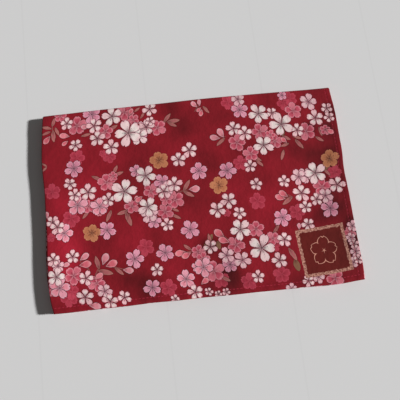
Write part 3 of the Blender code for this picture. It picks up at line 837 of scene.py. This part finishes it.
def blossom_group():
    """One motif of the print laid over what is under it. Lengths are millimetres on the sheet."""
    tree, nodes, given = new_group(
        "blossom", "ShaderNodeTree",
        [("Place", "Vector"), ("Spot", "Vector"), ("Form", "Vector"), ("Under", "Color")], ("Color", "Color"))
    place, spot, form, under = given
    spot_x, spot_y, kind = nodes.split(spot)
    radius, turn, tone = nodes.split(form)
    key = kind / KIND_SCALE
    shape = style(nodes, key, lambda row: (row[1] / MOST_PETALS, row[2], row[3] / MOST_SWELL))
    finish = style(nodes, key, lambda row: row[4:7])
    edge = style(nodes, key, lambda row: (row[7], 1.0 if row[0] == "line" else 0.0, 0.0))
    throat, body, tip = [style(nodes, key, lambda row, at=at: linear(row[at])) for at in (8, 9, 10)]
    petals, width, swell = nodes.split(shape)
    petals, swell = petals * MOST_PETALS, swell * MOST_SWELL
    notch, opacity, stamens = nodes.split(finish)
    outline, line, _ = nodes.split(edge)

    # Place within the petal: along it from the middle, aside from its middle line, as shares of its radius
    dx, dy, _ = nodes.split(nodes.vector("SUBTRACT", place, nodes.join(spot_x, spot_y)))
    angle = nodes.math("ARCTAN2", dy, dx) - turn
    distance = nodes.math("SQRT", dx * dx + dy * dy)
    rho = distance / radius
    half = math.pi / petals
    wrapped = nodes.math("WRAP", angle, half, half * -1.0)
    number = nodes.math("FLOOR", (angle + half) / (half * 2.0))
    number = nodes.math("FLOORED_MODULO", number + 0.01, petals)
    own = nodes.math("FRACT", number * GOLDEN + spot_x * 0.37)
    length = nodes.fit(own, 0.12, 0.92)
    along = rho * nodes.math("COSINE", wrapped) / length
    aside = nodes.math("ABSOLUTE", rho * nodes.math("SINE", wrapped))

    # Millimetres inside the petal's outline, with the notch in its tip
    inside = nodes.math("MINIMUM", nodes.math("MAXIMUM", along, 0.0), 1.0)
    belly = nodes.math("SINE", nodes.math("POWER", inside, swell) * (math.pi * 0.9999))
    field = width * nodes.math("POWER", belly, 0.7) - aside
    field = field - nodes.math("MAXIMUM", along - 1.0, 0.0) + nodes.math("MINIMUM", along, 0.0)
    cut = (1.0 - notch) + notch * 8.0 * aside
    field = nodes.math("MINIMUM", field, cut - along) * radius

    # Petal: throat to body, its rim and end in the tip's colour, and a vein
    colour = nodes.mix(nodes.smooth(along, 0.08, 0.46), throat, body)
    rim = nodes.smooth(field, 0.95, 0.10) * 0.70
    rim = nodes.math("MAXIMUM", rim, nodes.smooth(along, 0.62, 1.00, 0.0, 0.9))
    rim = nodes.math("MAXIMUM", rim, nodes.smooth(own, 0.55, 0.95, 0.0, 0.45))
    colour = nodes.mix(rim, colour, tip)
    vein = nodes.smooth(aside * radius, 0.20, 0.05) * nodes.smooth(along, 0.78, 0.25)
    colour = nodes.mix(vein * 0.30, colour, throat)

    # Stamens: threads that end in beads, round a dark heart
    spoke = nodes.math("WRAP", angle + 0.35, math.pi / 9, -math.pi / 9)
    off = distance * nodes.math("ABSOLUTE", nodes.math("SINE", spoke))
    reach = nodes.fit(own, 0.12, 0.36)
    thread = nodes.smooth(off, 0.15, 0.06) * nodes.smooth(rho, reach, 0.30)
    past = (rho - reach) * radius
    bead = nodes.smooth(nodes.math("SQRT", off * off + past * past), 0.33, 0.19)
    heart = nodes.smooth(distance, 0.75, 0.45, 0.0, 0.8)
    dark = nodes.math("MAXIMUM", nodes.math("MAXIMUM", thread * 0.7, bead), heart) * stamens
    colour = nodes.mix(dark, colour, nodes.mix(0.62, throat, STAMEN_DARK))
    colour = nodes.scale(colour, tone)

    # Dark edge on what lies under the motif, then the motif itself
    used = nodes.math("GREATER_THAN", kind, 0.5)
    shadow = nodes.smooth(field, -OUTLINE[0], -OUTLINE[1]) * outline * used
    under = nodes.mix(shadow * 0.94, under, OUTLINE_DARK)
    fill = nodes.smooth(field, -0.06, 0.07) * opacity
    band = nodes.smooth(nodes.math("ABSOLUTE", field - 0.3), 0.34, 0.20)
    fill = nodes.math("MAXIMUM", fill, band * line) * used
    nodes.add("NodeGroupOutput", {"Color": nodes.mix(fill, under, colour)})
    return tree


def surface(nodes, looks):
    """End a material in one surface with these looks."""
    nodes.add("ShaderNodeOutputMaterial", {"Surface": nodes.out("ShaderNodeBsdfPrincipled", looks)})


def cloth_finish(nodes, place, colour):
    """Dry cotton: rough, with the weave and small unevenness as bumps."""
    x, y, _ = nodes.split(place)
    turn = 2 * math.pi / WEAVE_PITCH
    weave = nodes.fit(nodes.math("SINE", x * turn) * nodes.math("SINE", y * turn), 0.5, 0.5)
    broad = nodes.noise(place, 0.28, 3.0, 0.55)
    bump = nodes.out("ShaderNodeBump", {"Strength": 0.35, "Distance": 0.05 * MM, "Height": weave})
    bump = nodes.out("ShaderNodeBump", {
        "Strength": 0.6, "Distance": 0.6 * MM, "Height": broad, "Normal": bump})
    surface(nodes, {"Base Color": colour, "Roughness": 0.88, "Metallic": 0.0, "Specular IOR Level": 0.18,
                    "Sheen Weight": 0.05, "Sheen Roughness": 0.5, "Normal": bump})


def new_material(name):
    """An empty node material."""
    material = bpy.data.materials.new(name)
    material.use_nodes = True
    material.node_tree.nodes.clear()
    return material, Nodes(material.node_tree)


def cloth_millimetres(nodes):
    """Place on the flat cloth, in millimetres."""
    return nodes.scale(nodes.out("ShaderNodeUVMap", uv_map="cloth"), 1 / MM)


def printed_cotton():
    """The printed face: dyed ground, blossoms over it, and the square mark in the corner."""
    material, nodes = new_material("printed_cotton")
    sheet = cloth_millimetres(nodes)
    wobble = nodes.out("ShaderNodeTexNoise", {"Vector": sheet, "Scale": 0.45, "Detail": 2.0}, "Color")
    wobble = nodes.vector("SUBTRACT", wobble, (0.5, 0.5, 0.5))
    place = nodes.vector("ADD", sheet, nodes.vector("MULTIPLY", wobble, (0.7, 0.7, 0.0)))

    shade = nodes.out("ShaderNodeAttribute", output="Fac", attribute_name="shade")
    shade = shade + nodes.fit(nodes.noise(sheet, 0.035, 3.0, 0.55), 1.3, -0.65)
    colour = nodes.ramp(nodes.fit(shade, 0.40, 0.50), [(at, linear(dye)) for at, dye in GROUND_DYES])
    group = blossom_group()
    for slot in reversed(range(SLOTS)):
        spot, form = [nodes.out("ShaderNodeAttribute", output="Vector", attribute_name=f"{name}_{slot}")
                      for name in ("spot", "form")]
        inputs = {"Place": place, "Spot": spot, "Form": form, "Under": colour}
        colour = nodes.out("ShaderNodeGroup", inputs, node_tree=group)
    colour = square_mark(nodes, place, group, colour)
    # the same lighter and darker places also darken and lighten the blossoms and the mark over the ground
    dim = nodes.math("MAXIMUM", nodes.fit(shade, 0.19, 0.955), 0.5)
    colour = nodes.mix(1.0, colour, nodes.join(dim, dim, dim), "MULTIPLY")
    threads = nodes.noise(nodes.vector("MULTIPLY", sheet, (4.0, 1.2, 1.0)), 1.0, 2.0)
    threads = nodes.ramp(threads, [(0.2, (0.86,) * 3), (0.8, (1.08,) * 3)])
    cloth_finish(nodes, sheet, nodes.mix(1.0, colour, threads, "MULTIPLY"))
    return material


def square_mark(nodes, place, group, under):
    """A square in the corner with an uneven pale border and one outlined blossom of the print in it."""
    x, y, half_x, half_y, turn = MARK
    x, y = [float(value) for value in on_stack(x, y)]
    turned = nodes.out("ShaderNodeVectorRotate", {
        "Vector": nodes.vector("SUBTRACT", place, (x, y, 0.0)), "Angle": math.radians(-turn)},
        rotation_type="Z_AXIS")
    rough = nodes.fit(nodes.noise(place, 0.5, 3.0, 0.6), 1.6, -0.8)
    side_x, side_y, _ = nodes.split(nodes.vector("ABSOLUTE", turned))
    inset = nodes.math("MINIMUM", half_x - side_x, half_y - side_y) + rough
    inner = nodes.smooth(inset + rough, MARK_BORDER - 0.15, MARK_BORDER + 0.15)
    ground = nodes.mix(nodes.noise(place, 0.12, 2.0), linear((84, 20, 16)), linear((106, 29, 25)))
    blossom = nodes.out("ShaderNodeGroup", {
        "Place": place, "Spot": (x, y, KIND_NUMBER["line"]), "Form": MARK_BLOSSOM, "Under": ground},
        node_tree=group)
    flecks = nodes.smooth(nodes.noise(place, 0.8, 3.0, 0.65), 0.34, 0.66)
    border = nodes.mix(flecks, linear((118, 62, 54)), linear((204, 150, 132)))
    return nodes.mix(nodes.smooth(inset, -0.1, 0.1), under, nodes.mix(inner, border, blossom))


def plain_reverse():
    """The unprinted face, with the dye showing through it."""
    material, nodes = new_material("printed_cotton_reverse")
    sheet = cloth_millimetres(nodes)
    cloudy = nodes.noise(sheet, 0.09, 3.0)
    cloth_finish(nodes, sheet, nodes.mix(cloudy, linear((140, 46, 60)), linear((168, 72, 86))))
    return material


def thread_material():
    """Sewing thread in the ground's red."""
    material, nodes = new_material("hem_thread")
    surface(nodes, {"Base Color": linear((176, 44, 70)), "Roughness": 0.7, "Specular IOR Level": 0.3})
    return material


def stitch_lines(shift):
    """Lines of sewing along the four hems, as points on the printed face and the direction out of it."""
    across = np.arange(-UPPER_END + STITCH_INSET, LOWER_END - STITCH_INSET, STITCH_STEP)
    down = np.arange(STITCH_INSET, RUN_END - STITCH_INSET, STITCH_STEP)
    for place, run in ((across, STITCH_INSET), (across, RUN_END - STITCH_INSET),
                       (-UPPER_END + STITCH_INSET, down), (LOWER_END - STITCH_INSET, down)):
        place, run = np.broadcast_arrays(place, run)
        points = np.stack(folded_points(place, run, 1.0, STITCH_LIFT), axis=1)
        out_of = np.stack(folded_points(place, run, 1.0, 20 * STITCH_LIFT), axis=1) - points
        reach = np.linalg.norm(out_of, axis=1, keepdims=True)
        yield points - shift, np.where(reach > 0, out_of / np.maximum(reach, 1e-9), (0.0, 0.0, -1.0))


def stitch_tree():
    """Geometry nodes: stitches laid along lines, each turned to its line and to the cloth under it."""
    tree, nodes, given = new_group(
        "stitches", "GeometryNodeTree",
        [("Geometry", "Geometry"), ("Pitch", "Float"), ("Length", "Float"), ("Thickness", "Float"),
         ("Seed", "Int"), ("Material", "Material")], ("Geometry", "Geometry"))
    lines, pitch, length, thickness, seed, material = given
    curve = nodes.out("GeometryNodeMeshToCurve", {0: lines})
    points, along = nodes.outs("GeometryNodeCurveToPoints", ("Points", "Tangent"),
                               {"Curve": curve, "Length": pitch}, mode="LENGTH")
    out_of = nodes.out("GeometryNodeInputNamedAttribute", {"Name": "out_of_cloth"}, "Attribute",
                       data_type="FLOAT_VECTOR")
    turned = nodes.out("FunctionNodeAlignRotationToVector", {"Vector": along}, axis="X")
    turned = nodes.out("FunctionNodeAlignRotationToVector", {"Rotation": turned, "Vector": out_of},
                       axis="Z", pivot_axis="X")
    ball = nodes.out("GeometryNodeMeshUVSphere", {"Segments": 8, "Rings": 6, "Radius": 0.5}, "Mesh")
    vary = nodes.out("FunctionNodeRandomValue", {0: (0.88, 0.9, 0.9), 1: (1.06, 1.1, 1.1), "Seed": seed},
                     data_type="FLOAT_VECTOR")
    size = nodes.vector("MULTIPLY", nodes.join(length, thickness, thickness), vary)
    laid = nodes.out("GeometryNodeInstanceOnPoints", {
        "Points": points, "Instance": ball, "Rotation": turned, "Scale": size})
    real = nodes.out("GeometryNodeRealizeInstances", {0: laid})
    dressed = nodes.out("GeometryNodeSetMaterial", {"Geometry": real, "Material": material})
    nodes.add("NodeGroupOutput", {0: nodes.out("GeometryNodeSetShadeSmooth", {"Geometry": dressed})})
    return tree


def make_stitches(shift):
    """The row of stitches along every hem, as one plain mesh."""
    points, edges, outs = [], [], []
    for line, out_of in stitch_lines(shift):
        edges += [(index, index + 1) for index in range(len(points), len(points) + len(line) - 1)]
        points += line.tolist()
        outs += out_of.tolist()
    guide = bpy.data.meshes.new("stitch_guide")
    guide.from_pydata(points, edges, [])
    layer = guide.attributes.new("out_of_cloth", "FLOAT_VECTOR", "POINT")
    layer.data.foreach_set("vector", np.array(outs, np.float32).reshape(-1))
    holder = add_object("stitch_guide", guide)
    sewing = holder.modifiers.new("sewing", "NODES")
    sewing.node_group = stitch_tree()
    chosen = {"Pitch": STITCH_PITCH, "Length": STITCH_LENGTH, "Thickness": STITCH_THICKNESS, "Seed": 4,
              "Material": thread_material()}
    for item in sewing.node_group.interface.items_tree:
        if item.in_out == "INPUT" and item.name in chosen:
            sewing[item.identifier] = chosen[item.name]
    evaluated = holder.evaluated_get(bpy.context.evaluated_depsgraph_get())
    mesh = bpy.data.meshes.new_from_object(evaluated)
    bpy.data.objects.remove(holder)
    return mesh


def add_object(name, mesh):
    """Put a mesh into the scene."""
    thing = bpy.data.objects.new(name, mesh)
    bpy.context.scene.collection.objects.link(thing)
    return thing


def make_floor():
    """A plain pale floor with the faint joints of its boards."""
    signs = ((-1, -1), (1, -1), (1, 1), (-1, 1))
    corners = [(x * FLOOR_REACH, y * FLOOR_REACH, FLOOR_LEVEL) for x, y in signs]
    mesh = bpy.data.meshes.new("floor")
    mesh.from_pydata(corners, [], [(0, 1, 2, 3)])
    material, nodes = new_material("floor")
    x, _, _ = nodes.split(nodes.out("ShaderNodeTexCoord", output="Object"))
    board = nodes.math("FRACT", (x + BOARD_OFFSET) / BOARD_WIDTH)
    joint = nodes.smooth(nodes.math("ABSOLUTE", board - 0.5), 0.488, 0.5, 0.0, 0.05)
    colour = nodes.mix(joint, (0.745, 0.745, 0.745, 1.0), (0.3, 0.3, 0.3, 1.0))
    surface(nodes, {"Base Color": colour, "Roughness": 0.75, "Specular IOR Level": 0.2})
    mesh.materials.append(material)
    return add_object("floor", mesh)


def aim(thing, forward, up):
    """Turn a camera or light so that it looks along forward, with up upward."""
    back = -Vector(forward).normalized()
    side = Vector(up).cross(back).normalized()
    over = back.cross(side)
    turn = Matrix((side, over, back)).transposed()
    thing.rotation_mode = "QUATERNION"
    thing.rotation_quaternion = turn.to_quaternion()


def light_and_camera():
    """Low soft sun from the hems' side, a little sky, and the photo's own viewpoint."""
    sun = bpy.data.lights.new("sun", "SUN")
    sun.energy, sun.angle = SUN_POWER, math.radians(SUN_SOFTNESS)
    sun = add_object("sun", sun)
    level, rise = math.radians(SUN_FROM), math.radians(SUN_HEIGHT)
    toward = (-math.cos(level) * math.cos(rise), -math.sin(level) * math.cos(rise), -math.sin(rise))
    aim(sun, toward, (0, 0, 1))
    sky = bpy.data.worlds.new("sky")
    sky.use_nodes = True
    background = sky.node_tree.nodes["Background"]
    background.inputs["Color"].default_value = (1.0, 0.96, 0.94, 1.0)
    background.inputs["Strength"].default_value = SKY_POWER
    bpy.context.scene.world = sky
    camera = bpy.data.cameras.new("camera")
    camera.lens, camera.sensor_width = CAMERA_LENS, 36.0
    camera.clip_start, camera.clip_end = 0.01, 10.0
    camera = add_object("camera", camera)
    camera.location = CAMERA_PLACE
    aim(camera, CAMERA_FORWARD, CAMERA_UP)
    bpy.context.scene.camera = camera
    bpy.context.scene.view_settings.view_transform = "Standard"


FLOOR_LEVEL = -0.2 * MM     # just clear of the stitches under the cloth
FLOOR_REACH = 1.5
BOARD_WIDTH, BOARD_OFFSET = 0.092, 0.031
SUN_FROM, SUN_HEIGHT, SUN_SOFTNESS = -6.7, 31.5, 5.0
SUN_POWER, SKY_POWER = 4.31, 0.10
CAMERA_LENS = 54.34
CAMERA_PLACE = (-0.0278, -0.1084, 0.4422)
CAMERA_FORWARD = (0.0646, 0.2337, -0.9702)
CAMERA_UP = (0.1050, 0.9653, 0.2395)

cloth_mesh, cloth_shift = sheet_mesh()
cloth = add_object("cloth", cloth_mesh)
cloth_mesh.materials.append(printed_cotton())
cloth_mesh.materials.append(plain_reverse())
stitches = add_object("hem_stitches", make_stitches(cloth_shift))
floor = make_floor()
light_and_camera()

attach(cloth, "root")
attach(stitches, "root")
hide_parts("handkerchief")
UPPER_END + LOWER_END
